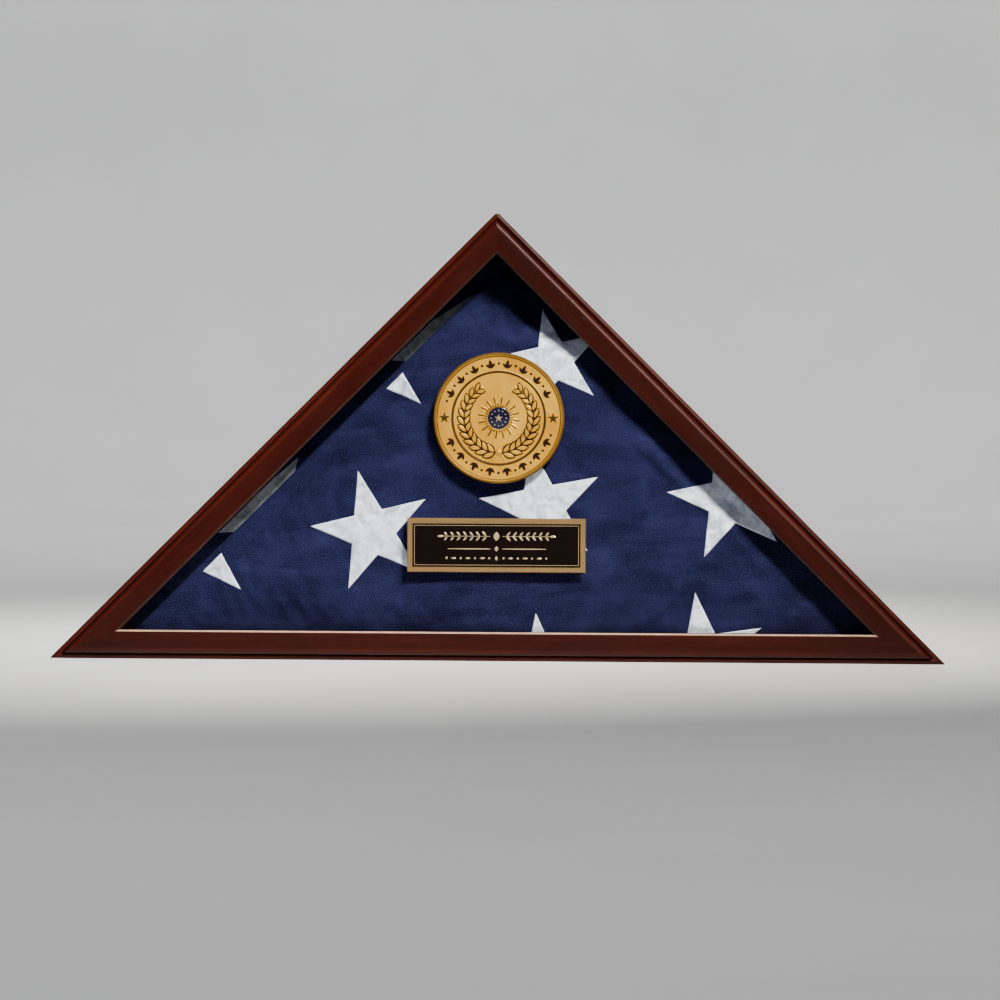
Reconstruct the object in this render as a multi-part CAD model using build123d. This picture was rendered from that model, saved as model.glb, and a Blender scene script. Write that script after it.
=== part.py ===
from build123d import *

import math
import os

# Folded flag display case: three mitred wooden rails make a right-angled triangular box. A glass
# pane is held behind the front lip by glazing strips, a felted back panel drops into a rear rabbet
# behind six turn buttons, and a round medallion and a nameplate are taped to the glass.
#
# Frame: the origin is the middle of the case's underside, +X along the base to the right as seen
# from the front, +Y towards the rear, +Z up. The front face is at -Y. Millimetres and degrees.
#
# Every rail is worked out lying along X with its outer face at z = 0 and its inner side at +Z, and
# is then carried to its side of the triangle. Distances called inset are measured from that face.

# Outer size
HALF_WIDTH = 327.0
DEPTH = 82.6
FRONT = -DEPTH / 2
REAR = DEPTH / 2
APEX_ROUND = 3.0
FOOT_ROUND = 0.4

# Rail section
WALL = 15.0
LIP_THICKNESS = 9.5
BEAD_R = 2.1
BEAD_SETBACK = 6.8
OVOLO_R = 4.0
FACE_INSET = 20.0
SIGHT_INSET = 21.4
RABBET_INSET = 8.6
RABBET_DEPTH = 4.2
ARRIS_R = 0.5
REAR_ARRIS_R = 1.0

# Glazing
GLASS_THICKNESS = 2.4
GLASS_GAP = 1.0
GLASS_CORNER_CUT = 3.0
STRIP_WIDTH = 5.6
STRIP_DEPTH = 8.0
BRAD_SHANK_R = 0.6
BRAD_HEAD_R = 1.0
BRAD_HEAD = 0.5
BRAD_LENGTH = 15.0
BRADS_PER_STRIP = 3

# Mitre nails
V_NAIL_LEG = 5.0
V_NAIL_THICKNESS = 0.6
V_NAIL_DEPTH = 10.0
V_NAIL_SINK = 0.3
V_NAIL_PLACES = (0.45, 0.72)

# Back panel
PANEL_THICKNESS = 3.2
FELT_THICKNESS = 0.8
PANEL_GAP = 0.8
PANEL_CORNER_R = 6.0
FELT_MARGIN = 0.5

# Turn buttons
BUTTON_THICKNESS = 1.2
BUTTON_WIDTH = 8.0
BUTTON_REACH = 18.0
BUTTON_HOLE_R = 1.55
BUTTON_SPREAD = 0.25
SCREW_SHANK_R = 1.5
SCREW_HEAD_R = 2.9
SCREW_HEAD = 1.5
SCREW_SLOT_WIDTH = 0.8
SCREW_SLOT_DEPTH = 0.6
SCREW_GRIP = 11.0
WASHER_R = 3.2
WASHER_THICKNESS = 0.5
AXIAL_PLAY = 0.05

# Medallion and nameplate
TAPE_THICKNESS = 0.8
MEDALLION_X = 1.8
MEDALLION_Z = 177.2
MEDALLION_R = 47.75
MEDALLION_THICKNESS = 2.4
MEDALLION_TAPE_R = 42.0
MEDALLION_RIM_WIDTH = 1.6
MEDALLION_RING_R = 34.0
MEDALLION_RING_WIDTH = 1.4
MEDALLION_RELIEF = 0.6
ROSETTE_POINTS = 16
ROSETTE_R = 20.0
ROSETTE_VALLEY_R = 14.0
ENAMEL_R = 8.0
ENAMEL_THICKNESS = 1.6
ENAMEL_SINK = 0.8
PLATE_X = 0.5
PLATE_Z = 84.5
PLATE_WIDTH = 130.3
PLATE_HEIGHT = 39.4
PLATE_THICKNESS = 1.2
PLATE_CHAMFER = 0.5
PLATE_BORDER = 3.9
PLATE_PANEL_THICKNESS = 0.5
PLATE_TAPE_MARGIN = 6.0

# Folded flag
FLAG_BASE_GAP = 0.5
FLAG_LEG_GAP = 1.5
FLAG_FRONT = -20.5
FLAG_REAR_GAP = 0.6
FLAG_FOOT_R = 12.0
FLAG_APEX_R = 18.0
FLAG_EDGE_R = 8.0

# Worked out from the sizes above
ROOT2 = math.sqrt(2)
LEG_LENGTH = HALF_WIDTH * ROOT2
INRADIUS = HALF_WIDTH * (ROOT2 - 1)
BEAD_Y = FRONT + BEAD_SETBACK
LIP_REAR = FRONT + LIP_THICKNESS
GLASS_REAR = LIP_REAR + GLASS_THICKNESS
STRIP_REAR = GLASS_REAR + STRIP_DEPTH
RABBET_FLOOR = REAR - RABBET_DEPTH
PANEL_REAR = RABBET_FLOOR + FELT_THICKNESS + PANEL_THICKNESS
SCREW_INSET = RABBET_INSET / 2
WASHER_REAR = REAR + WASHER_THICKNESS
BUTTON_REAR = WASHER_REAR + AXIAL_PLAY + BUTTON_THICKNESS
FOOT_MITRE = 22.5
APEX_MITRE = 45.0

LEFT_FOOT = (-HALF_WIDTH, 0.0)
RIGHT_FOOT = (HALF_WIDTH, 0.0)
APEX = (0.0, HALF_WIDTH)
INCENTRE = (0.0, INRADIUS)

# Each side of the triangle: its two outer corners, its turn from the base's direction and its length
SIDES = {
    "base": (LEFT_FOOT, RIGHT_FOOT, 0.0, 2 * HALF_WIDTH),
    "right": (RIGHT_FOOT, APEX, 135.0, LEG_LENGTH),
    "left": (APEX, LEFT_FOOT, 225.0, LEG_LENGTH),
}


def triangle(base_inset, leg_inset):
    """Corners (x, z) of the case's outline after its three sides are moved inwards."""
    apex_z = HALF_WIDTH - leg_inset * ROOT2
    half = apex_z - base_inset
    return [(-half, base_inset), (half, base_inset), (0.0, apex_z)]


def upright_face(corners):
    """A face standing in the XZ plane, from its (x, z) corners."""
    return make_face(Plane.XZ * Polyline(*corners, close=True))


def slab(face, front, rear):
    """The solid between two depths under an upright face drawn at y = 0."""
    return Pos(0, rear, 0) * extrude(face, amount=rear - front, dir=(0, -1, 0))


def upright_disc(radius, front, rear, hole=0.0):
    """A disc or ring about the Y axis, between two depths."""
    face = Plane.XZ * Circle(radius)
    if hole > 0:
        face -= Plane.XZ * Circle(hole)
    return slab(face, front, rear)


def rounded(face, radii):
    """An upright face with its corners rounded, given as {(x, z): radius}."""
    for (x, z), radius in radii.items():
        corner = face.vertices().sort_by_distance((x, 0, z))[0]
        face = fillet(corner, radius)
    return face


def on_side(shape, side):
    """Carries a shape worked out for a rail along X to one side of the triangle."""
    (start_x, start_z), (end_x, end_z), turn, _ = SIDES[side]
    middle = Pos((start_x + end_x) / 2, 0, (start_z + end_z) / 2)
    return middle * Rot(0, -turn, 0) * shape


def mitred(shape, side):
    """Trims a side's shape at the mitre planes, which meet at the triangle's incentre."""
    start, end, _, _ = SIDES[side]
    return shape & slab(upright_face([start, end, INCENTRE]), FRONT, REAR)


def rail_section():
    """The rail's section: outer bead, ovolo step, flat face, sight bevel, lip and rear rabbet."""
    slant = OVOLO_R * (1 - math.cos(math.radians(45)))
    bead_end = 2 * BEAD_R
    ovolo_end = bead_end + OVOLO_R
    bevel = SIGHT_INSET - FACE_INSET
    outline = [
        Line((REAR, 0), (BEAD_Y, 0)),
        ThreePointArc((BEAD_Y, 0), (BEAD_Y - BEAD_R, BEAD_R), (BEAD_Y, bead_end)),
        Line((BEAD_Y, bead_end), (FRONT + OVOLO_R, bead_end)),
        ThreePointArc(
            (FRONT + OVOLO_R, bead_end),
            (FRONT + slant, bead_end + slant),
            (FRONT, ovolo_end),
        ),
        Polyline(
            (FRONT, ovolo_end),
            (FRONT, FACE_INSET),
            (FRONT + bevel, SIGHT_INSET),
            (LIP_REAR, SIGHT_INSET),
            (LIP_REAR, WALL),
            (RABBET_FLOOR, WALL),
            (RABBET_FLOOR, RABBET_INSET),
            (REAR, RABBET_INSET),
            (REAR, 0),
        ),
    ]
    section = make_face(Curve() + outline)
    eased = {
        (FRONT, FACE_INSET): ARRIS_R,
        (FRONT + bevel, SIGHT_INSET): ARRIS_R,
        (LIP_REAR, SIGHT_INSET): ARRIS_R,
        (REAR, RABBET_INSET): ARRIS_R,
        (REAR, 0): REAR_ARRIS_R,
    }
    for arris, radius in eased.items():
        corner = section.vertices().sort_by_distance(arris)[0]
        section = fillet(corner, radius)
    return Plane.YZ * section


def rail(side):
    """One mitred rail, with the case's outer corners rounded and its nail and screw holes cut."""
    length = SIDES[side][3]
    stock = extrude(rail_section(), amount=length / 2, dir=(1, 0, 0), both=True)
    outline = rounded(
        upright_face(triangle(0, 0)),
        {LEFT_FOOT: FOOT_ROUND, RIGHT_FOOT: FOOT_ROUND, APEX: APEX_ROUND},
    )
    body = mitred(on_side(stock, side), side) & slab(outline, FRONT, REAR)
    for solid in v_nails() + brads(side) + screws(side):
        body -= solid
    return body


def v_nail():
    """A V-shaped mitre nail about the Y axis, its point at the origin and its legs towards +X."""
    reach = V_NAIL_LEG / ROOT2
    back = V_NAIL_THICKNESS * ROOT2
    upper = [(0, 0), (reach, reach), (reach + back, reach), (back, 0)]
    lower = [(reach + back, -reach), (reach, -reach)]
    face = upright_face(upper + lower)
    return slab(face, REAR - V_NAIL_SINK - V_NAIL_DEPTH, REAR - V_NAIL_SINK)


def v_nails():
    """Two mitre nails across each corner, in the rear edge of the rails."""
    nails = []
    for (x, z), heading, mitre in (
        (LEFT_FOOT, FOOT_MITRE, FOOT_MITRE),
        (RIGHT_FOOT, 180 - FOOT_MITRE, FOOT_MITRE),
        (APEX, -90.0, APEX_MITRE),
    ):
        corner_to_rabbet = RABBET_INSET / math.sin(math.radians(mitre))
        for share in V_NAIL_PLACES:
            step = Pos(corner_to_rabbet * share, 0, 0)
            nails.append(Pos(x, 0, z) * Rot(0, -heading, 0) * step * v_nail())
    return nails


def strip(side):
    """A mitred strip that holds the glass against the lip, with its brad holes."""
    length = SIDES[side][3]
    stock = Pos(0, GLASS_REAR, WALL) * Box(
        length, STRIP_DEPTH, STRIP_WIDTH, align=(Align.CENTER, Align.MIN, Align.MIN)
    )
    body = mitred(on_side(stock, side), side)
    for nail in brads(side):
        body -= nail
    return body


def brads(side):
    """The brads of one strip, driven outwards into the rail, their heads flush with the strip."""
    length = SIDES[side][3]
    top = WALL + STRIP_WIDTH
    upwards = (Align.CENTER, Align.CENTER, Align.MAX)
    shank = Cylinder(BRAD_SHANK_R, BRAD_LENGTH, align=upwards)
    head = Cylinder(BRAD_HEAD_R, BRAD_HEAD, align=upwards)
    brad = shank + head
    pitch = length / (BRADS_PER_STRIP + 1)
    nails = []
    for index in range(BRADS_PER_STRIP):
        along = pitch * (index - (BRADS_PER_STRIP - 1) / 2)
        nails.append(on_side(Pos(along, GLASS_REAR + STRIP_DEPTH / 2, top) * brad, side))
    return nails


def button_places(side):
    """The two turn-button pivots of a side, on the middle of its rear edge, as placements."""
    spread = SIDES[side][3] * BUTTON_SPREAD
    return [Pos(along, 0, SCREW_INSET) for along in (-spread, spread)]


def screws(side):
    """The pan-head screws of one side's turn buttons, with their slotted heads."""
    head_front = BUTTON_REAR + AXIAL_PLAY
    head_rear = head_front + SCREW_HEAD
    shank = upright_disc(SCREW_SHANK_R, REAR - SCREW_GRIP, head_front)
    head = upright_disc(SCREW_HEAD_R, head_front, head_rear)
    head = fillet(head.edges().group_by(Axis.Y)[-1], SCREW_HEAD / 2)
    slot = Pos(0, head_rear, 0) * Box(2 * SCREW_HEAD_R, 2 * SCREW_SLOT_DEPTH, SCREW_SLOT_WIDTH)
    screw = shank + (head - slot)
    return [on_side(place * screw, side) for place in button_places(side)]


def washers(side):
    """The washers under one side's turn buttons."""
    washer = upright_disc(WASHER_R, REAR, WASHER_REAR, hole=SCREW_SHANK_R)
    return [on_side(place * washer, side) for place in button_places(side)]


def turn_buttons(side):
    """The two turn buttons of a side, stored open, lying along the rail's rear edge."""
    finger = Pos(BUTTON_REACH / 2, 0) * SlotOverall(BUTTON_REACH + BUTTON_WIDTH, BUTTON_WIDTH)
    outline = Plane.XZ * (finger - Circle(BUTTON_HOLE_R))
    plate = slab(outline, BUTTON_REAR - BUTTON_THICKNESS, BUTTON_REAR)
    plate = chamfer(plate.edges().group_by(Axis.Y)[-1], BUTTON_THICKNESS / 4)
    return [on_side(place * plate, side) for place in button_places(side)]


def glass_pane():
    """The pane, clear of the walls all round, with its three corners snipped."""
    inset = WALL + GLASS_GAP
    corners = triangle(inset, inset)
    face = upright_face(corners)
    for x, z in corners:
        corner = face.vertices().sort_by_distance((x, 0, z))[0]
        face = chamfer(corner, GLASS_CORNER_CUT)
    return slab(face, LIP_REAR, GLASS_REAR)


def panel_face(inset, radius):
    """A triangle with rounded corners for the back panel and its felt."""
    corners = triangle(inset, inset)
    return rounded(upright_face(corners), {corner: radius for corner in corners})


def back_panel():
    """The hardboard back, almost flush with the rear edges of the rails."""
    face = panel_face(RABBET_INSET + PANEL_GAP, PANEL_CORNER_R)
    return slab(face, PANEL_REAR - PANEL_THICKNESS, PANEL_REAR)


def back_panel_felt():
    """The felt glued to the panel's front, which meets the floor of the rabbet."""
    face = panel_face(RABBET_INSET + PANEL_GAP + FELT_MARGIN, PANEL_CORNER_R)
    return slab(face, RABBET_FLOOR, RABBET_FLOOR + FELT_THICKNESS)


def medallion_tape():
    """The round double-sided tape between the medallion and the glass."""
    return upright_disc(MEDALLION_TAPE_R, LIP_REAR - TAPE_THICKNESS, LIP_REAR)


def rosette(front, rear):
    """A sixteen-pointed rosette about the Y axis, with alternate points and valleys."""
    corners = []
    for index in range(2 * ROSETTE_POINTS):
        radius = ROSETTE_R if index % 2 == 0 else ROSETTE_VALLEY_R
        angle = math.pi * index / ROSETTE_POINTS
        corners.append((radius * math.sin(angle), radius * math.cos(angle)))
    return slab(upright_face(corners), front, rear)


def medallion_disc():
    """The cast disc: a raised rim and inner ring, a rosette, and a seat for the enamel."""
    rear = LIP_REAR - TAPE_THICKNESS
    front = rear - MEDALLION_THICKNESS
    raised = front - MEDALLION_RELIEF
    disc = upright_disc(MEDALLION_R, front, rear)
    disc += upright_disc(MEDALLION_R, raised, front, hole=MEDALLION_R - MEDALLION_RIM_WIDTH)
    disc += upright_disc(
        MEDALLION_RING_R + MEDALLION_RING_WIDTH / 2,
        raised,
        front,
        hole=MEDALLION_RING_R - MEDALLION_RING_WIDTH / 2,
    )
    disc += rosette(raised, front)
    return disc - upright_disc(ENAMEL_R, raised, front + ENAMEL_SINK)


def medallion_enamel():
    """The round enamel drop in the middle of the rosette."""
    rear = LIP_REAR - TAPE_THICKNESS - MEDALLION_THICKNESS + ENAMEL_SINK
    drop = upright_disc(ENAMEL_R, rear - ENAMEL_THICKNESS, rear)
    return fillet(drop.edges().group_by(Axis.Y)[0], ENAMEL_THICKNESS / 3)


def plate_block(width, height, front, rear):
    """A rectangular plate about the Y axis, between two depths."""
    return slab(Plane.XZ * Rectangle(width, height), front, rear)


def nameplate_tape():
    """The tape between the nameplate and the glass."""
    return plate_block(
        PLATE_WIDTH - PLATE_TAPE_MARGIN,
        PLATE_HEIGHT - PLATE_TAPE_MARGIN,
        LIP_REAR - TAPE_THICKNESS,
        LIP_REAR,
    )


def nameplate_base():
    """The brass plate whose border shows all round, chamfered along its front edge."""
    rear = LIP_REAR - TAPE_THICKNESS
    plate = plate_block(PLATE_WIDTH, PLATE_HEIGHT, rear - PLATE_THICKNESS, rear)
    return chamfer(plate.edges().group_by(Axis.Y)[0], PLATE_CHAMFER)


def nameplate_panel():
    """The thin black panel bonded to the front of the brass plate."""
    rear = LIP_REAR - TAPE_THICKNESS - PLATE_THICKNESS
    return plate_block(
        PLATE_WIDTH - 2 * PLATE_BORDER, PLATE_HEIGHT - 2 * PLATE_BORDER, rear - PLATE_PANEL_THICKNESS, rear
    )


def folded_flag():
    """The folded flag: a thick triangular pad that stands on the base rail inside the case."""
    corners = triangle(WALL + FLAG_BASE_GAP, WALL + FLAG_LEG_GAP)
    left, right, apex = corners
    face = rounded(upright_face(corners), {left: FLAG_FOOT_R, right: FLAG_FOOT_R, apex: FLAG_APEX_R})
    pad = slab(face, FLAG_FRONT, RABBET_FLOOR - FLAG_REAR_GAP)
    rims = pad.edges().group_by(Axis.Y)
    return fillet(rims[0] + rims[-1], FLAG_EDGE_R)


def every_side(make):
    """A group of separate solids made for all three sides."""
    return Compound(children=[solid for side in SIDES for solid in make(side)])


def sub_parts():
    """Every node of the case, by name."""
    nodes = {}
    for side in SIDES:
        nodes[f"{side}_rail"] = rail(side)
        nodes[f"glass_strip_{side}"] = strip(side)
    nodes["corner_v_nails"] = Compound(children=v_nails())
    nodes["glass_strip_brads"] = every_side(brads)
    nodes["glass_pane"] = glass_pane()
    nodes["back_panel"] = back_panel()
    nodes["back_panel_felt"] = back_panel_felt()
    nodes["folded_flag"] = folded_flag()

    medallion_place = Pos(MEDALLION_X, 0, MEDALLION_Z)
    nodes["medallion_tape"] = medallion_place * medallion_tape()
    nodes["medallion_disc"] = medallion_place * medallion_disc()
    nodes["medallion_enamel"] = medallion_place * medallion_enamel()
    plate_place = Pos(PLATE_X, 0, PLATE_Z)
    nodes["nameplate_tape"] = plate_place * nameplate_tape()
    nodes["nameplate_base"] = plate_place * nameplate_base()
    nodes["nameplate_panel"] = plate_place * nameplate_panel()

    buttons = [button for side in SIDES for button in turn_buttons(side)]
    for number, button in enumerate(buttons, start=1):
        nodes[f"turn_button_{number}"] = button
    nodes["turn_button_washers"] = every_side(washers)
    nodes["turn_button_screws"] = every_side(screws)
    return nodes


os.makedirs("parts", exist_ok=True)
for name, shape in sub_parts().items():
    export_step(shape, f"parts/{name}.step")
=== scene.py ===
import math

import bpy
import numpy as np
from mathutils import Euler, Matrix, Vector, bvhtree, geometry


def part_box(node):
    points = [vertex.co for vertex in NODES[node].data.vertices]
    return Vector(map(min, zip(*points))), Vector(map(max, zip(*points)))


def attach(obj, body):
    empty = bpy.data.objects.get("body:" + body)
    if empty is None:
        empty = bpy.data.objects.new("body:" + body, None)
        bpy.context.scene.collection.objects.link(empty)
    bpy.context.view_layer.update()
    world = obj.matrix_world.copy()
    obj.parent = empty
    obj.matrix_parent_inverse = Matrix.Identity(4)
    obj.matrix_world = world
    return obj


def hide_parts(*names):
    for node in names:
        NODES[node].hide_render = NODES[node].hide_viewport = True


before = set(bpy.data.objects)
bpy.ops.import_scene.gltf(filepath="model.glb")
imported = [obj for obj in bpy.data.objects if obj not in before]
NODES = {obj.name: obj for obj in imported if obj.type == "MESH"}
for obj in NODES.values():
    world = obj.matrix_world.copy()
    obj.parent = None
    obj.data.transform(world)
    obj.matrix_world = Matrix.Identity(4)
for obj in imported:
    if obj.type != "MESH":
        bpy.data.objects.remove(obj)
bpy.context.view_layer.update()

# Shapes are worked out in millimetres, in the row frame: x to the right, y to the rear, z up.
MM = 0.001
ROOT2 = math.sqrt(2)


def corners(node):
    """A CAD node's lowest and highest corner."""
    low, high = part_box(node)
    return np.array(low) / MM, np.array(high) / MM


def face_of(node):
    """A node's front and rear depth, and its face's centre and half size as (x, z)."""
    low, high = corners(node)
    return low[1], high[1], ((low + high) / 2)[::2], ((high - low) / 2)[::2]


def leg_reach(node):
    """The largest x + z on a node, which places the side that faces the right leg."""
    return max(v.co.x + v.co.z for v in NODES[node].data.vertices) / MM


HALF_WIDTH = leg_reach("right_rail")
CASE_FRONT = corners("base_rail")[0][1]
SIGHT_INSET = corners("base_rail")[1][2]
FELT_FRONT = corners("back_panel_felt")[0][1]
_, FLAG_FRONT, FLAG_BASE_INSET = corners("folded_flag")[0]
FLAG_LEG_INSET = (HALF_WIDTH - leg_reach("folded_flag")) / ROOT2

# The rails: where the quirk, flat face and sight bevel lie, from the outer face and the front
QUIRK_INSET, QUIRK_REACH, QUIRK_DEPTH = 4.6, 1.1, 9
RAIL_FACE_INSET, RAIL_FACE_BLEND = 7.0, 2.2
BEVEL_WIDTH, BEVEL_BLEND, BEVEL_DEPTH = 1.2, 0.5, 1.9

# The folded flag
PACK_CROWN = 2.0
PACK_REAR_GAP = 1.2
PACK_BASE_FALL, PACK_BASE_ROLL = 7.0, 26.0
PACK_LEG_FALL, PACK_LEG_ROLL = 4.5, 24.0
PACK_GROOVE, PACK_GROOVE_START, PACK_GROOVE_END = 12.0, 42.0, 30.0
PACK_TOP_FALL, PACK_TOP_START, PACK_TOP_END = 16.0, 228.0, 285.0
PACK_SHOULDER, PACK_SHOULDER_START, PACK_SHOULDER_END = 4.0, 46.0, 22.0
FRONT_LEAF_LEFT_INSET = 29.0
STAR_LEFT_INSET = 33.2
FRONT_LEAF_APEX_R = 34.0
FRONT_LEAF_FOOT_R = 6.0
FRONT_LEAF_SHARE = 0.16
REAR_LEAF_SHARE = 0.06
MIDDLE_LEAVES = 15
LEAF_ROLL = 3.4
HELD_EDGE = 9.0
STAR_R = 46.5
STAR_VALLEY = 0.385
STAR_RISE = 0.8

# The emblem and plate: heights are shares of the relief's depth
RELIEF_DEPTH = 1.0
GRID_COUNT = 310
FIELD_HEIGHT = 0.18
RIM_PATINA = 0.80
SPRIGS, SPRIG_R = 20, 36.5
WREATH_LEAVES, WREATH_R = 12, 25.4
SUN_RAYS = 32
ENAMEL_BEADS, ENAMEL_BEAD_R = 12, 0.55
ORNAMENT_RISE = 0.12
PLATE_INSET, PLATE_LINE = 1.4, 0.32


# ---------------- meshes


def mesh_piece(name, points, faces, material, smooth=True):
    """A mesh object made from points in millimetres."""
    mesh = bpy.data.meshes.new(name)
    mesh.from_pydata((np.asarray(points) * MM).tolist(), [], faces)
    mesh.validate()
    mesh.shade_smooth() if smooth else mesh.shade_flat()
    mesh.materials.append(material)
    piece = bpy.data.objects.new(name, mesh)
    bpy.context.scene.collection.objects.link(piece)
    return piece


def points_of(piece):
    """A mesh's points in millimetres."""
    flat = np.empty(len(piece.data.vertices) * 3)
    piece.data.vertices.foreach_get("co", flat)
    return flat.reshape(-1, 3) / MM


def set_points(piece, points):
    piece.data.vertices.foreach_set("co", (points * MM).ravel())
    piece.data.update()


def unit(vector):
    return vector / np.linalg.norm(vector)


def smooth_step(value, start, end):
    t = np.clip((value - start) / (end - start), 0, 1)
    return t * t * (3 - 2 * t)


def value_noise(x, z, size, seed):
    """Smooth random heights from -1 to 1, with bumps about size across."""
    cells = 256
    table = np.random.default_rng(seed).uniform(-1, 1, (cells, cells))
    u, v = x / size, z / size
    i, j = np.floor(u).astype(int), np.floor(v).astype(int)
    f, g = u - i, v - j
    f, g = f * f * (3 - 2 * f), g * g * (3 - 2 * g)
    a, b = table[i % cells, j % cells], table[(i + 1) % cells, j % cells]
    c, d = table[i % cells, (j + 1) % cells], table[(i + 1) % cells, (j + 1) % cells]
    return (a * (1 - f) + b * f) * (1 - g) + (c * (1 - f) + d * f) * g


def creases(x, z, angle, width, length, seed):
    """Long soft ridges that run at an angle from +X, in degrees."""
    turn = math.radians(angle)
    along = x * math.cos(turn) + z * math.sin(turn)
    across = z * math.cos(turn) - x * math.sin(turn)
    wander = value_noise(along, across, length * 0.6, seed + 1) * width * 0.7
    return value_noise(along * width / length, across + wander, width, seed)


def by_part(work, points):
    """The result of work on points, done a part at a time so that it fits in memory."""
    return np.concatenate([work(part[:, None]) for part in np.array_split(points, len(points) // 2000 + 1)])


def edge_distance(points, outline):
    """The distance from each point to a closed outline."""
    side = np.roll(outline, -1, 0) - outline
    length2 = (side ** 2).sum(1)

    def nearest(part):
        away = part - outline
        t = np.clip((away * side).sum(2) / length2, 0, 1)
        return np.sqrt(((away - t[..., None] * side) ** 2).sum(2).min(1))

    return by_part(nearest, points)


def is_inside(points, outline):
    """Whether each point lies inside a closed outline."""
    (x0, z0), (x1, z1) = outline.T, np.roll(outline, -1, 0).T
    rise = np.where(z1 == z0, 1, z1 - z0)

    def is_odd(part):
        x, z = part[..., 0], part[..., 1]
        return (((z0 > z) != (z1 > z)) & (x < x0 + (z - z0) / rise * (x1 - x0))).sum(1) % 2 == 1

    return by_part(is_odd, points)


def at(reach, turn, centre=(0.0, 0.0)):
    """The point at a distance and an angle in radians from a centre."""
    return centre[0] + reach * math.cos(turn), centre[1] + reach * math.sin(turn)


def divided(outline, step):
    """A closed outline with its long sides split evenly."""
    points = []
    for start, end in zip(outline, np.roll(outline, -1, 0)):
        count = max(1, round(np.linalg.norm(end - start) / step))
        points += [start + (end - start) * k / count for k in range(count)]
    return np.array(points)


def cut_flat(outline, spacing, rows=()):
    """Points (x, z) and triangles that fill an outline: its points, rows inset from it, an even grid."""
    low, high = outline.min(0), outline.max(0)
    height = spacing * math.sqrt(3) / 2
    grid = np.array([
        (x + (k % 2) * spacing / 2, z)
        for k, z in enumerate(np.arange(low[1], high[1], height))
        for x in np.arange(low[0], high[0], spacing)
    ])
    grid = grid[is_inside(grid, outline)]
    grid = grid[edge_distance(grid, outline) > max(rows, default=0) + 0.6 * spacing]
    tangent = np.roll(outline, -1, 0) - np.roll(outline, 1, 0)
    inward = np.stack([-tangent[:, 1], tangent[:, 0]], 1)
    inward /= np.linalg.norm(inward, axis=1)[:, None]
    parts = [outline]
    for inset in rows:
        row = outline + inward * inset
        row = row[is_inside(row, outline)]
        parts.append(row[edge_distance(row, outline) > 0.96 * inset])
    points = np.concatenate([*parts, grid])
    loop = list(range(len(outline)))
    made = geometry.delaunay_2d_cdt([Vector(p) for p in points], [], [loop], 1, 1e-6)
    return np.array([tuple(v) for v in made[0]]), [list(f) for f in made[2]]


def ring_faces(start, count, step):
    """Faces that join a closed ring of points to the same ring a step further on."""
    pairs = [(start + i, start + (i + 1) % count) for i in range(count)]
    return [[there, here, here + step, there + step] for here, there in pairs]


def shell_piece(name, flat, faces, rim, front, rear, material):
    """A closed shell as an object: a front and a rear skin, joined round the flat outline's rim points."""
    count = len(flat)
    points = np.empty((2 * count, 3))
    points[:, 0] = np.tile(flat[:, 0], 2)
    points[:, 2] = np.tile(flat[:, 1], 2)
    points[:count, 1] = front
    points[count:, 1] = rear
    turned = [[i + count for i in reversed(face)] for face in faces]
    return mesh_piece(name, points, faces + turned + ring_faces(0, rim, count), material)


def joined(shells):
    """Several (points, faces) shells as one."""
    points, faces, start = [], [], 0
    for some, polygons in shells:
        points.append(some)
        faces += [[i + start for i in polygon] for polygon in polygons]
        start += len(some)
    return np.concatenate(points), faces


# ---------------- materials


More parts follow.
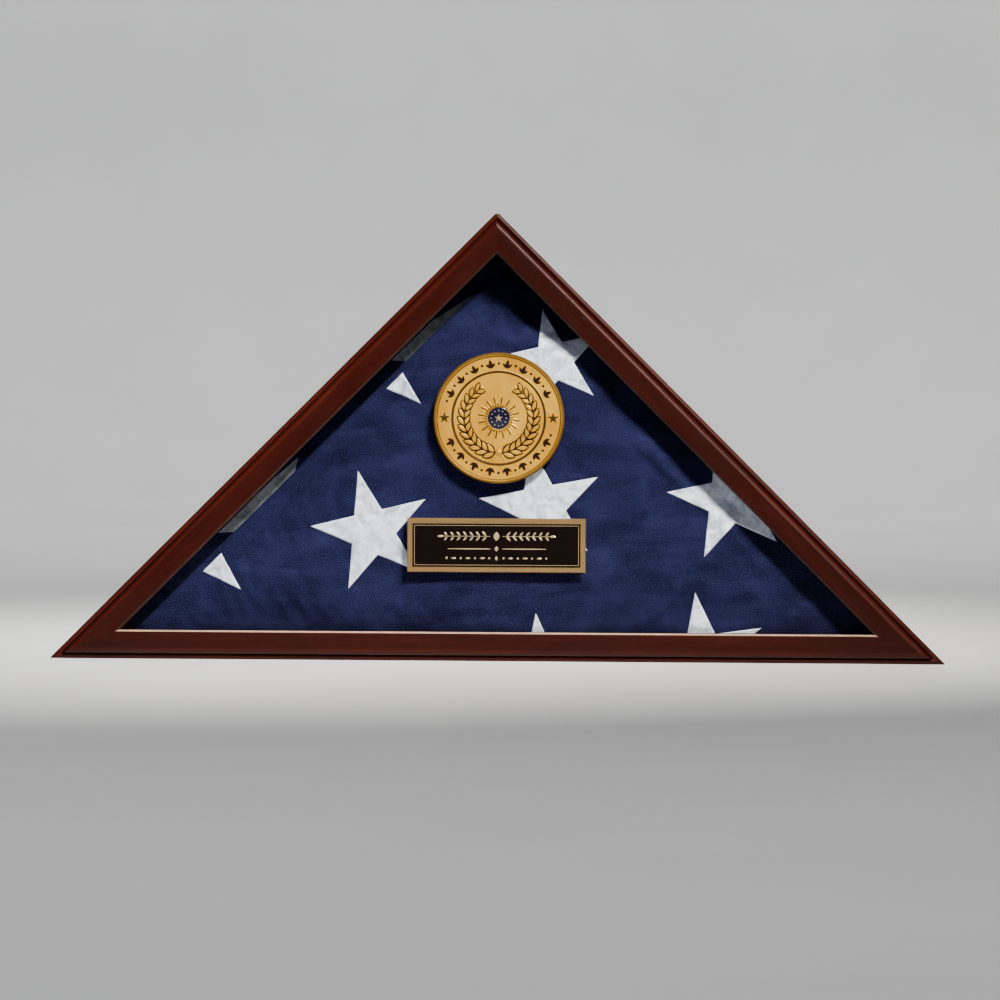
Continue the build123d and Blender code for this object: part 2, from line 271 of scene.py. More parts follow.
class Finish:
    """A material's node tree, with short calls for the nodes used here."""

    def __init__(self, name):
        self.material = bpy.data.materials.new(name)
        self.material.use_nodes = True
        self.tree = self.material.node_tree
        self.tree.nodes.clear()
        self.place = self.add("TexCoord").outputs["Object"]
        self.colour = None

    def add(self, kind, inputs=None, **settings):
        node = self.tree.nodes.new("ShaderNode" + kind)
        for key, value in settings.items():
            setattr(node, key, value)
        for key, value in (inputs or {}).items():
            if isinstance(value, bpy.types.NodeSocket):
                self.tree.links.new(value, node.inputs[key])
            else:
                node.inputs[key].default_value = value
        return node

    def math(self, operation, a, b=0.0, clamp=False):
        return self.add("Math", {0: a, 1: b}, operation=operation, use_clamp=clamp).outputs[0]

    def mapped(self, scale=(1, 1, 1), rotation=(0, 0, 0), location=(0, 0, 0), place=None):
        return self.add("Mapping", {
            "Vector": place or self.place, "Location": location, "Rotation": Euler(rotation), "Scale": scale,
        }).outputs[0]

    def noise(self, scale, detail=3.0, roughness=0.55, distortion=0.0, place=None):
        return self.add("TexNoise", {
            "Vector": place or self.place, "Scale": scale, "Detail": detail, "Roughness": roughness,
            "Distortion": distortion,
        }).outputs["Fac"]

    def cells(self, scale):
        return self.add("TexVoronoi", {"Vector": self.place, "Scale": scale}).outputs["Distance"]

    def bands(self, scale, distortion, direction):
        inputs = {"Vector": self.place, "Scale": scale, "Distortion": distortion}
        return self.add("TexWave", inputs, bands_direction=direction).outputs["Fac"]

    def ramp(self, fac, *stops):
        """A colour ramp from (position, colour) stops; a single number stands for a grey."""
        node = self.add("ValToRGB", {"Fac": fac})
        elements = node.color_ramp.elements
        while len(elements) < len(stops):
            elements.new(0.5)
        for element, (position, colour) in zip(elements, stops):
            element.position = position
            element.color = (*colour, 1) if isinstance(colour, tuple) else (colour, colour, colour, 1)
        return node.outputs["Color"]

    def mix(self, fac, a, b, blend="MIX"):
        node = self.add("Mix", {"Factor": fac}, data_type="RGBA", blend_type=blend)
        for socket, value in ((node.inputs[6], a), (node.inputs[7], b)):
            if isinstance(value, bpy.types.NodeSocket):
                self.tree.links.new(value, socket)
            else:
                socket.default_value = (*value, 1)
        return node.outputs[2]

    def lay(self, mask, start, end, tint):
        """Lays a tint over the colour so far, its share a ramp of the mask between two stops."""
        self.colour = self.mix(self.ramp(mask, start, end), self.colour, tint)

    def bump(self, height, distance, strength=1.0, normal=None):
        inputs = {"Height": height, "Distance": distance * MM, "Strength": strength}
        if normal is not None:
            inputs["Normal"] = normal
        return self.add("Bump", inputs).outputs[0]

    def principled(self, roughness, normal, **constants):
        inputs = {"Base Color": self.colour, "Roughness": roughness, "Normal": normal}
        inputs.update({key.replace("_", " "): value for key, value in constants.items()})
        return self.output(self.add("BsdfPrincipled", inputs).outputs[0])

    def output(self, shader):
        self.add("OutputMaterial", {"Surface": shader})
        return self.material


def rail_finish(name, along, inward, offset, seed, tone_and_painted_shade, bevel_wear_and_highlight):
    """Satin mahogany: grain along the rail, painted shade along the quirk and over the flat face, and a
    lighter sight bevel that is partly bare wood and partly painted highlight.
    """
    # The tone scales every stain colour: the wood's depth of colour, with painted light and shade that differ
    # from rail to rail.
    def stain(*colour):
        return tuple(tone_and_painted_shade * part for part in colour)

    def past(start, width):
        # 0 up to an inset from the rail's outer face, and 1 from a width beyond it
        return f.math("MULTIPLY", f.math("SUBTRACT", inset, start * MM), 1 / (width * MM), True)

    f = Finish(name)
    run = f.add("VectorMath", {0: f.place, 1: along}, operation="DOT_PRODUCT").outputs["Value"]
    inset = f.add("VectorMath", {0: f.place, 1: inward}, operation="DOT_PRODUCT").outputs["Value"]
    inset = f.math("ADD", inset, offset)
    depth = f.add("SeparateXYZ", {0: f.place}).outputs[1]
    local = f.add("CombineXYZ", {0: run, 1: depth, 2: inset}).outputs[0]
    shifted = f.mapped(location=(seed, seed * 0.37, seed * 0.71), place=local)

    figure = f.noise(1.0, 5, 0.6, 0.9, f.mapped((9, 60, 75), place=shifted))
    stripes = f.noise(1.0, 6, 0.65, 0.4, f.mapped((16, 330, 430), place=shifted))
    pores = f.noise(1.0, 2, 0.5, 0.0, f.mapped((130, 2300, 2600), place=shifted))
    clouds = f.noise(13, 2, place=shifted)

    f.colour = f.ramp(figure, (0.30, stain(0.029, 0.0032, 0.0013)), (0.52, stain(0.046, 0.0054, 0.0020)),
                      (0.74, stain(0.067, 0.0092, 0.0031)))
    f.lay(stripes, (0.42, 0.0), (0.68, 0.60), stain(0.021, 0.0020, 0.0009))
    f.lay(clouds, (0.35, 0.0), (0.75, 0.30), stain(0.064, 0.0092, 0.0030))
    pits = f.ramp(pores, (0.60, 0.0), (0.68, 1.0))
    f.colour = f.mix(f.math("MULTIPLY", pits, 0.55), f.colour, (0.008, 0.0010, 0.0005))

    # Painted shade: the flat face inward of the bead is darkened, so that the outer bead reads as lit.
    f.colour = f.mix(past(RAIL_FACE_INSET, RAIL_FACE_BLEND), f.colour, (0.54, 0.44, 0.36), "MULTIPLY")
    # Painted shade: a dark line along the quirk recess on the front.
    quirk = f.math("ABSOLUTE", f.math("SUBTRACT", inset, QUIRK_INSET * MM))
    quirk = f.ramp(f.math("MULTIPLY", quirk, 1 / (QUIRK_REACH * MM)), (0.0, 0.60), (1.0, 0.0))
    at_front = f.math("LESS_THAN", depth, (CASE_FRONT + QUIRK_DEPTH) * MM)
    f.colour = f.mix(f.math("MULTIPLY", quirk, at_front), f.colour, (0.005, 0.0008, 0.0005))
    # The sight bevel is lightened: partly bare wood where the stain wore through, and partly a painted
    # highlight, strongest on the base rail's upward-facing bevel.
    edge = past(SIGHT_INSET - BEVEL_WIDTH, BEVEL_BLEND)
    edge = f.math("MULTIPLY", edge, f.ramp(f.noise(160, 3, place=shifted), (0.3, 0.7), (0.7, 1.0)))
    on_bevel = f.math("LESS_THAN", depth, (CASE_FRONT + BEVEL_DEPTH) * MM)
    edge = f.math("MULTIPLY", f.math("MULTIPLY", edge, on_bevel), bevel_wear_and_highlight)
    f.colour = f.mix(edge, f.colour, (0.46, 0.30, 0.20))

    smears = f.noise(1.0, 4, 0.6, 0.3, f.mapped((30, 160, 160), place=shifted))
    roughness = f.ramp(smears, (0.3, 0.30), (0.7, 0.42))
    normal = f.bump(stripes, 0.10, 0.5)
    normal = f.bump(f.math("MULTIPLY", pits, -1.0), 0.05, 0.5, normal)
    normal = f.bump(f.noise(55, 2, place=shifted), 0.25, 0.35, normal)
    return f.principled(roughness, normal, Coat_Weight=0.03, Coat_Roughness=0.2,
                        Coat_IOR=1.45, Specular_IOR_Level=0.09)


def strip_finish():
    """Bare stained pine for the glazing strips."""
    f = Finish("strip_wood")
    grain = f.noise(1.0, 5, 0.6, 0.5, f.mapped((240, 240, 240), (0.3, 0.2, 0.4)))
    fine = f.noise(900, 3)
    f.colour = f.ramp(grain, (0.3, (0.070, 0.020, 0.008)), (0.7, (0.16, 0.058, 0.022)))
    f.lay(fine, (0.5, 0.0), (0.8, 0.5), (0.035, 0.012, 0.006))
    return f.principled(f.ramp(fine, (0.3, 0.55), (0.7, 0.75)), f.bump(grain, 0.12, 0.6))


def glass_finish():
    """Coated glazing: it lets light through, and only gloss shows, with a trace of dust."""
    f = Finish("glass")
    haze = f.noise(24, 4, 0.6)
    dust = f.ramp(f.cells(420), (0.02, 0.06), (0.06, 0.0))
    gloss = f.add("BsdfGlossy", {"Color": (1, 1, 1, 1), "Roughness": f.ramp(haze, (0.3, 0.015), (0.8, 0.07))})
    clear = f.add("BsdfTransparent", {"Color": (0.965, 0.98, 0.972, 1)})
    fresnel = f.add("Fresnel", {"IOR": 1.14}).outputs[0]
    front = f.math("SUBTRACT", 1.0, f.add("NewGeometry").outputs["Backfacing"])
    share = f.math("MULTIPLY", fresnel, front)
    share = f.math("ADD", share, f.math("MULTIPLY", dust, 0.2))
    mixed = f.add("MixShader", {0: share, 1: clear.outputs[0], 2: gloss.outputs[0]})
    return f.output(mixed.outputs[0])


def metal_finish(name, bright, dull, roughness, brush=(900, 900, 900), wear=0.5):
    """Metal with a brushed grain, cloudy tarnish and fine scratches."""
    f = Finish(name)
    grain = f.noise(1.0, 3, 0.6, 0.2, f.mapped(brush))
    tarnish = f.noise(70, 5, 0.62, 0.6)
    scratches = f.noise(1.0, 2, 0.5, 0.0, f.mapped((2600, 300, 180), (0.4, 0.9, 0.3)))
    f.colour = bright
    f.lay(tarnish, (0.42, 0.0), (0.72, wear), dull)
    f.lay(grain, (0.35, 0.0), (0.75, 0.25), dull)
    rough = f.ramp(f.math("ADD", f.math("MULTIPLY", grain, 0.5), f.math("MULTIPLY", tarnish, 0.5)),
                   (0.3, roughness - 0.07), (0.7, roughness + 0.1))
    normal = f.bump(grain, 0.03, 0.35)
    normal = f.bump(f.ramp(scratches, (0.66, 0.0), (0.70, 1.0)), -0.02, 0.3, normal)
    return f.principled(rough, normal, Metallic=1.0)


def foam_finish():
    f = Finish("foam_tape")
    pores = f.cells(1800)
    f.colour = f.ramp(pores, (0.1, (0.012, 0.012, 0.013)), (0.6, (0.035, 0.034, 0.034)))
    return f.principled(f.ramp(pores, (0.1, 0.8), (0.6, 0.95)), f.bump(pores, 0.1, 0.6))


def emblem_finish():
    """Satin gilt: the raised work is bright, and dark patina lies where the relief is cut away."""
    f = Finish("medallion_gilt")
    patina = f.add("Attribute", attribute_name="patina").outputs["Fac"]
    clouds = f.noise(28, 3, 0.6, 0.4)
    speckle = f.noise(1900, 3, 0.6)
    f.colour = f.ramp(clouds, (0.36, (0.35, 0.158, 0.010)), (0.62, (0.50, 0.262, 0.022)))
    f.lay(speckle, (0.5, 0.0), (0.85, 0.35), (0.28, 0.105, 0.008))
    f.colour = f.mix(patina, f.colour, (0.010, 0.0026, 0.0008))
    rough = f.ramp(f.math("ADD", f.math("MULTIPLY", speckle, 0.5), f.math("MULTIPLY", patina, 0.4)),
                   (0.2, 0.36), (0.7, 0.58))
    normal = f.bump(speckle, 0.02, 0.35)
    return f.principled(rough, normal, Metallic=0.3, Specular_IOR_Level=0.1)


def enamel_finish():
    f = Finish("medallion_enamel")
    depth = f.noise(240, 3, 0.5)
    flecks = f.ramp(f.cells(2200), (0.05, 0.5), (0.16, 0.0))
    f.colour = f.ramp(depth, (0.3, (0.0012, 0.0016, 0.010)), (0.7, (0.0022, 0.0034, 0.020)))
    f.colour = f.mix(flecks, f.colour, (0.006, 0.010, 0.040))
    return f.principled(f.ramp(depth, (0.3, 0.08), (0.7, 0.18)), f.bump(depth, 0.05, 0.3),
                        Coat_Weight=0.8, Coat_Roughness=0.05)


def plate_black_finish():
    """Black anodised panel, brushed across, with dust in the brushing."""
    f = Finish("plate_black")
    brush = f.noise(1.0, 4, 0.6, 0.0, f.mapped((60, 900, 5200)))
    clouds = f.noise(55, 3)
    f.colour = f.ramp(brush, (0.35, (0.0012, 0.0005, 0.0003)), (0.7, (0.0040, 0.0018, 0.0010)))
    f.lay(clouds, (0.5, 0.0), (0.8, 0.4), (0.0060, 0.0028, 0.0017))
    rough = f.ramp(brush, (0.3, 0.30), (0.75, 0.46))
    return f.principled(rough, f.bump(brush, 0.015, 0.3), Specular_IOR_Level=0.06)


def hardboard_finish():
    """Pressed wood fibre: matted strands, darker specks and a slightly polished face."""
    f = Finish("hardboard")
    strands = f.noise(1.0, 6, 0.7, 1.6, f.mapped((420, 420, 420)))
    specks = f.ramp(f.cells(520), (0.04, 1.0), (0.16, 0.0))
    clouds = f.noise(9, 3)
    f.colour = f.ramp(strands, (0.3, (0.105, 0.052, 0.024)), (0.7, (0.215, 0.120, 0.062)))
    f.lay(clouds, (0.35, 0.0), (0.75, 0.35), (0.13, 0.066, 0.031))
    f.colour = f.mix(f.math("MULTIPLY", specks, 0.5), f.colour, (0.055, 0.026, 0.013))
    return f.principled(f.ramp(strands, (0.3, 0.55), (0.7, 0.72)), f.bump(strands, 0.10, 0.5))


def felt_finish():
    f = Finish("felt")
    nap = f.noise(1300, 5, 0.7, 1.2)
    clouds = f.noise(30, 4, 0.6)
    f.colour = f.ramp(nap, (0.3, (0.006, 0.006, 0.008)), (0.75, (0.030, 0.030, 0.036)))
    f.lay(clouds, (0.4, 0.0), (0.8, 0.4), (0.032, 0.032, 0.038))
    return f.principled(f.ramp(nap, (0.3, 0.88), (0.7, 1.0)), f.bump(nap, 0.35, 0.7),
                        Sheen_Weight=0.35, Sheen_Roughness=0.5)


def weave(f, pitch):
    """Plain weave: warp and weft threads at a pitch in millimetres, over and under in turn."""
    scale = math.pi / (pitch * MM) / 10
    warp = f.bands(scale, 0.6, direction="X")
    weft = f.bands(scale, 0.6, direction="Z")
    return f.math("MAXIMUM", warp, weft)


def flag_finish(name, shade):
    """Navy cotton: plain weave, mottled dye, pale streaks along the creases (partly faded dye, partly painted
    highlight on their raised side), a little nap and stray lint.
    """
    f = Finish(name)
    threads = weave(f, 0.62)
    slubs = f.noise(1.0, 3, 0.6, 0.0, f.mapped((90, 900, 1500)))
    mottle = f.noise(26, 5, 0.62, 0.8)
    fade_and_highlight_streaks = f.noise(1.0, 4, 0.6, 0.5, f.mapped((24, 60, 90), (0, 0.7, 0)))
    dark, mid, pale = ((0.0030, 0.0031, 0.0140), (0.0054, 0.0055, 0.0240), (0.0125, 0.0130, 0.0480))
    # shade scales the cloth's colours; above 1 it paints in fill light.
    dark, mid, pale = (tuple(shade * c for c in colour) for colour in (dark, mid, pale))
    f.colour = f.ramp(mottle, (0.28, dark), (0.50, mid), (0.78, pale))
    # Pale where the streak bump is highest: partly faded dye, partly painted highlight on the raised creases.
    f.lay(fade_and_highlight_streaks, (0.46, 0.0), (0.70, 0.75), pale)
    f.lay(threads, (0.2, 0.25), (0.8, 0.0), dark)
    f.lay(slubs, (0.55, 0.0), (0.85, 0.35), pale)
    specks = f.noise(560, 3, 0.7)
    f.lay(specks, (0.50, 0.0), (0.70, 0.55), pale)
    f.lay(specks, (0.32, 0.55), (0.48, 0.0), dark)
    lint = f.ramp(f.cells(38), (0.006, 0.8), (0.013, 0.0))
    f.colour = f.mix(lint, f.colour, (0.20, 0.21, 0.25))
    normal = f.bump(threads, 0.06, 0.3)
    normal = f.bump(f.noise(120, 4, 0.55), 0.25, 0.3, normal)
    normal = f.bump(fade_and_highlight_streaks, 0.9, 0.35, normal)
    return f.principled(f.ramp(mottle, (0.3, 0.82), (0.7, 0.92)), normal,
                        Sheen_Weight=0.02, Sheen_Roughness=0.4, Sheen_Tint=(0.35, 0.45, 1.0, 1.0),
                        Specular_IOR_Level=0.04)


def star_finish():
    """White embroidery: close stitch rows across the star, puckered, with painted shade grey-blue in the
    pucker hollows.
    """
    f = Finish("star_thread")
    rows = f.bands(math.pi / (0.55 * MM) / 10, 1.2, direction="DIAGONAL")
    tufts = f.noise(1500, 4, 0.65)
    puckers_and_shade = f.noise(120, 4, 0.6, 0.7)
    soil = f.noise(45, 3)
    # Painted shade: the colour follows the pucker bump, grey-blue where the puckers sink.
    f.colour = f.ramp(puckers_and_shade, (0.36, (0.30, 0.31, 0.40)), (0.60, (0.70, 0.71, 0.82)))
    f.lay(rows, (0.0, 0.22), (0.5, 0.0), (0.48, 0.49, 0.58))
    f.lay(tufts, (0.45, 0.0), (0.8, 0.35), (0.86, 0.87, 0.94))
    f.lay(soil, (0.5, 0.0), (0.85, 0.30), (0.60, 0.60, 0.69))
    normal = f.bump(rows, 0.14, 0.5)
    normal = f.bump(tufts, 0.12, 0.4, normal)
    normal = f.bump(puckers_and_shade, 1.2, 0.6, normal)
    return f.principled(f.ramp(tufts, (0.3, 0.6), (0.7, 0.8)), normal,
                        Sheen_Weight=0.1, Sheen_Roughness=0.4)


def floor_finish():
    f = Finish("studio_floor")
    grain = f.noise(6, 4, 0.55)
    f.colour = f.ramp(grain, (0.3, (0.655, 0.660, 0.665)), (0.7, (0.690, 0.695, 0.700)))
    return f.principled(f.ramp(grain, (0.3, 0.75), (0.7, 0.85)), f.bump(grain, 0.2, 0.1))


# ---------------- cloth leaves


def insets(x, z):
    """Distances of points from the case's outer faces: base, left leg and right leg."""
    return z, (HALF_WIDTH + x - z) / ROOT2, (HALF_WIDTH - x - z) / ROOT2


def round_corner(before, corner, after, radius, step):
    """Points on the arc that rounds a corner, from the side it is reached by to the next side."""
    to_before, to_after = unit(before - corner), unit(after - corner)
    half = math.acos(to_before @ to_after) / 2
    centre = corner + unit(to_before + to_after) * radius / math.sin(half)
    start = corner + to_before * radius / math.tan(half) - centre
    end = corner + to_after * radius / math.tan(half) - centre
    turn = math.pi - 2 * half
    count = max(3, round(radius * turn / step))
    steps = np.linspace(0, 1, count + 1)
    arc = [(math.sin((1 - t) * turn) * start + math.sin(t * turn) * end) / math.sin(turn) for t in steps]
    return [centre + point for point in arc]


def leaf_outline(base, left, right, foot_r, apex_r, step):
    """A closed outline: the case's triangle moved in by three insets, with round corners."""
    left_foot = np.array([base - HALF_WIDTH + left * ROOT2, base])
    right_foot = np.array([HALF_WIDTH - right * ROOT2 - base, base])
    apex = np.array([(left - right) / ROOT2, HALF_WIDTH - (left + right) / ROOT2])
    ends = [left_foot, right_foot, apex]
    points = []
    for k, radius in enumerate((foot_r, foot_r, apex_r)):
        points += round_corner(ends[k - 1], ends[k], ends[(k + 1) % 3], radius, step)
    return divided(np.array(points), step)


def rounded(distance, width):
    """The height of a rolled edge: 0 at the edge, 1 from width inwards."""
    t = np.clip(distance / width, 0, 1)
    return np.sqrt(1 - (1 - t) ** 2)


def fall(distance, width):
    """How far a rolled edge has dropped: 1 at the edge, 0 from width inwards."""
    return 1 - rounded(distance, width)


def pack_front(x, z):
    """The depth of the folded flag's front, crowned in the middle and rolled back at its sides."""
    base, left, right = insets(x, z)
    drop = PACK_BASE_FALL * fall(base - FLAG_BASE_INSET, PACK_BASE_ROLL)
    drop += PACK_LEG_FALL * fall(left - FLAG_LEG_INSET, PACK_LEG_ROLL)
    drop += PACK_LEG_FALL * fall(right - FLAG_LEG_INSET, PACK_LEG_ROLL)
    drop += PACK_TOP_FALL * smooth_step(z + 0.12 * abs(x), PACK_TOP_START, PACK_TOP_END)
    drop += PACK_SHOULDER * (1 - smooth_step(right, PACK_SHOULDER_END, PACK_SHOULDER_START))
    return FLAG_FRONT - PACK_CROWN + drop


def pack_rear(x, z):
    """The depth of the folded flag's rear, a little flatter than its front."""
    base, left, right = insets(x, z)
    nearest = np.minimum(base - FLAG_BASE_INSET, np.minimum(left, right) - FLAG_LEG_INSET)
    return FELT_FRONT - PACK_REAR_GAP - 6.0 * fall(nearest, 22.0)


def settle(piece, held, grow, push, cap, frames=22):
    """Lets slack cloth buckle: held points stay, the rest grows a little and is pushed out, up to cap."""
    before = points_of(piece)
    group = piece.vertex_groups.new(name="held")
    group.add([int(i) for i in np.flatnonzero(held)], 1.0, "REPLACE")
    modifier = piece.modifiers.new("cloth", "CLOTH")
    cloth = modifier.settings
    for key, value in dict(
        quality=5, mass=0.08, tension_stiffness=12, compression_stiffness=12, shear_stiffness=4,
        bending_stiffness=0.6, shrink_min=-grow, use_pressure=True, uniform_pressure_force=push,
        vertex_group_mass="held",
    ).items():
        setattr(cloth, key, value)
    cloth.effector_weights.gravity = 0
    modifier.collision_settings.use_collision = False
    for step in range(1, frames + 1):
        bpy.context.scene.frame_set(step)
    shown = piece.evaluated_get(bpy.context.evaluated_depsgraph_get())
    after = np.array([tuple(v.co) for v in shown.data.vertices]) / MM
    piece.modifiers.remove(modifier)
    piece.vertex_groups.remove(group)
    bpy.context.scene.frame_set(1)
    move = after - before
    length = np.linalg.norm(move, axis=1)[:, None]
    set_points(piece, before + move * np.minimum(1, cap / np.maximum(length, 1e-9)))


def front_relief(x, z):
    """Folds and wrinkles drawn into the front leaf, as millimetres towards the glass."""
    _, left, right = insets(x, z)
    inner = left - FRONT_LEAF_LEFT_INSET
    length = smooth_step(z, 40, 80) * (1 - smooth_step(z, 190, 230))
    ridge = 1.5 * np.exp(-((inner - 11 - 1.5 * value_noise(x, z, 60, 3)) / 2.6) ** 2) * length
    hollow = -1.0 * np.exp(-((inner - 17) / 4.0) ** 2) * length
    slant = 1.0 * creases(x, z, 42, 14, 95, 11) + 0.6 * creases(x, z, -38, 11, 70, 12)
    lower = 0.9 * creases(x, z, 8, 12, 80, 13) * (1 - smooth_step(z, 60, 110))
    right_side = 1.6 * creases(x, z, 38, 12, 80, 14) * smooth_step(x, 30, 80)
    broad = 1.4 * value_noise(x, z, 48, 15) + 0.6 * value_noise(x, z, 18, 16)
    quiet = smooth_step(np.minimum(inner, right - FLAG_LEG_INSET), 2, 16)
    return ridge + hollow + quiet * (slant + lower + right_side + broad)


def leaf_piece(name, outline, start, end, spacing, material, roll=LEAF_ROLL, groove=0.0):
    """A folded leaf between two shares of the pack's depth, its edge rolled over, and its flat points,
    which its front skin has first and its rear skin after. With a groove it falls back at the left."""
    rows = tuple(roll * share for share in (0.12, 0.4, 0.8, 1.3, 2.2))
    flat, faces = cut_flat(outline, spacing, rows)
    x, z = flat.T
    swell = 0.10 + 0.90 * rounded(edge_distance(flat, outline), roll)
    front, rear = pack_front(x, z), pack_rear(x, z)
    front = front + groove * (1 - smooth_step(insets(x, z)[1], PACK_GROOVE_END, PACK_GROOVE_START))
    middle, half = (start + end) / 2, (end - start) / 2 * swell
    near, far = front + (middle - half) * (rear - front), front + (middle + half) * (rear - front)
    return shell_piece(name, flat, faces, len(outline), near, far, material), flat


def make_front_leaf(material):
    """The outermost fold, whose left edge stops short of the case and whose top is turned back."""
    outline = leaf_outline(FLAG_BASE_INSET, FRONT_LEAF_LEFT_INSET, FLAG_LEG_INSET + 1,
                           FRONT_LEAF_FOOT_R, FRONT_LEAF_APEX_R, 2.4)
    piece, flat = leaf_piece("flag_front_leaf", outline, 0.0, FRONT_LEAF_SHARE, 2.9, material, roll=4.2)
    count = len(flat)
    edge = edge_distance(flat, outline) < HELD_EDGE
    settle(piece, np.concatenate([edge, np.ones(count, bool)]), grow=0.010, push=0.35, cap=2.2)
    points = points_of(piece)
    points[:count, 1] -= front_relief(points[:count, 0], points[:count, 2])
    set_points(piece, points)
    return piece


def make_rear_leaf(material):
    outline = leaf_outline(FLAG_BASE_INSET + 1, FLAG_LEG_INSET + 1, FLAG_LEG_INSET + 2, 14, 20, 3.4)
    piece, flat = leaf_piece("flag_rear_leaf", outline, 1 - REAR_LEAF_SHARE, 1.0, 4.2, material)
    count = len(flat)
    edge = edge_distance(flat, outline) < HELD_EDGE
    settle(piece, np.concatenate([np.ones(count, bool), edge]), grow=0.008, push=0.0, cap=1.0)
    points = points_of(piece)
    x, z = points[count:, 0], points[count:, 2]
    points[count:, 1] += 0.3 * creases(x, z, 45, 16, 90, 31) + 0.3 * value_noise(x, z, 40, 32)
    set_points(piece, points)
    return piece


def make_middle_leaves(material):
    """The folds between front and rear, each a little out of line with the next."""
    random = np.random.default_rng(7)
    edges = np.linspace(FRONT_LEAF_SHARE, 1 - REAR_LEAF_SHARE, MIDDLE_LEAVES + 1)
    pieces = []
    for k, (start, end) in enumerate(zip(edges[:-1], edges[1:])):
        base, left, right = random.uniform((0.2, 0.3, 0.3), (1.8, 3.6, 3.0))
        foot_r, apex_r = random.uniform(10, 18), random.uniform(14, 26)
        if k == 0:
            base, left, foot_r = 0.2, 0.4, 4.0
        outline = leaf_outline(FLAG_BASE_INSET + base, FLAG_LEG_INSET + left, FLAG_LEG_INSET + right,
                               foot_r, apex_r, 4.0)
        centre = outline.mean(0)
        wave = 0.5 * value_noise(outline[:, 0] + 300 * k, outline[:, 1], 45, 40)
        outward = outline - centre
        outline = outline + outward / np.linalg.norm(outward, axis=1)[:, None] * (wave[:, None] - 0.4)
        grow = (end - start) * 0.06
        spacing = 4.2 if k == 0 else 11
        piece, _ = leaf_piece(f"flag_leaf_{k + 2}", outline, start - grow, end + grow, spacing, material,
                              roll=2.2, groove=PACK_GROOVE)
        pieces.append(piece)
    return pieces


def make_flag():
    """The folded flag's leaves of navy cloth: the front one, those between and the rear one."""
    # The middle leaves use the cloth at 2.8 times its brightness: painted fill light, lifting the shaded gap
    # beside the front leaf's left edge.
    front_cloth, under_cloth_lightened = flag_finish("flag_navy", 1.0), flag_finish("flag_navy_under_painted_fill", 2.8)
    return make_front_leaf(front_cloth), make_middle_leaves(under_cloth_lightened), make_rear_leaf(front_cloth)


# ---------------- stars


def star_outline(x, z, radius, tilt, step=1.6):
    """A five-pointed star's closed outline, its top point turned left by tilt degrees."""
    turns = [math.radians(90 + tilt + 36 * k) for k in range(10)]
    points = [at(radius * (STAR_VALLEY if k % 2 else 1), turn, (x, z)) for k, turn in enumerate(turns)]
    return divided(np.array(points), step)


def clipped(outline, keep):
    """The part of an outline where keep(x, z) is positive, walked along its sides."""
    values = keep(outline[:, 0], outline[:, 1])
    points = []
    for k in range(len(outline)):
        here, there = outline[k - 1], outline[k]
        a, b = values[k - 1], values[k]
        if (a > 0) != (b > 0):
            points.append(here + (there - here) * a / (a - b))
        if b > 0:
            points.append(there)
    return np.array(points)


def surface_depth(leaf, flat, side):
    """The depth of a leaf's surface at flat points, as met from the front (-1) or from the rear (1)."""
    tree = bvhtree.BVHTree.FromObject(leaf, bpy.context.evaluated_depsgraph_get())
    inward = Vector((0, -side, 0))
    hits = [tree.ray_cast(Vector((x * MM, 0.2 * side, z * MM)), inward)[0] for x, z in flat]
    depth = np.array([np.nan if hit is None else hit.y / MM for hit in hits])
    return np.where(np.isnan(depth), np.nanmax(depth * -side) * -side, depth)


def make_star(name, place, leaf, keep, material, side):
    """An embroidered star laid on a leaf: flat ground, raised satin border, puckered middle."""
    centre_x, centre_z, tilt, stretch = place
    outline = star_outline(0, 0, STAR_R, tilt) * stretch + np.array([centre_x, centre_z])
    outline = divided(clipped(outline, keep), 1.6)
    flat, faces = cut_flat(outline, 1.9, (0.45, 1.1, 2.0, 3.0))
    x, z = flat.T
    edge = edge_distance(flat, outline)
    rise = STAR_RISE * (0.35 + 0.65 * rounded(edge, 1.3))
    rise -= 0.28 * smooth_step(edge, 1.8, 3.4)
    rise += 0.22 * value_noise(x, z, 7, 51) * smooth_step(edge, 1, 5)
    spokes = np.arctan2(z - centre_z, x - centre_x)
    reach = np.hypot(x - centre_x, z - centre_z)
    seam = np.exp(-(np.sin(2.5 * (spokes - math.radians(tilt))) * reach / 1.6) ** 2)
    rise += 0.40 * seam * (reach < 0.45 * STAR_R) * smooth_step(reach, 1, 6)
    rise += 0.35 * creases(x, z, 25, 6, 30, 52) * smooth_step(edge, 1, 5)
    ground = surface_depth(leaf, flat, side)
    outer, inner = ground + side * rise, ground - side * 0.4
    front, rear = (outer, inner) if side < 0 else (inner, outer)
    return shell_piece(name, flat, faces, len(outline), front, rear, material)


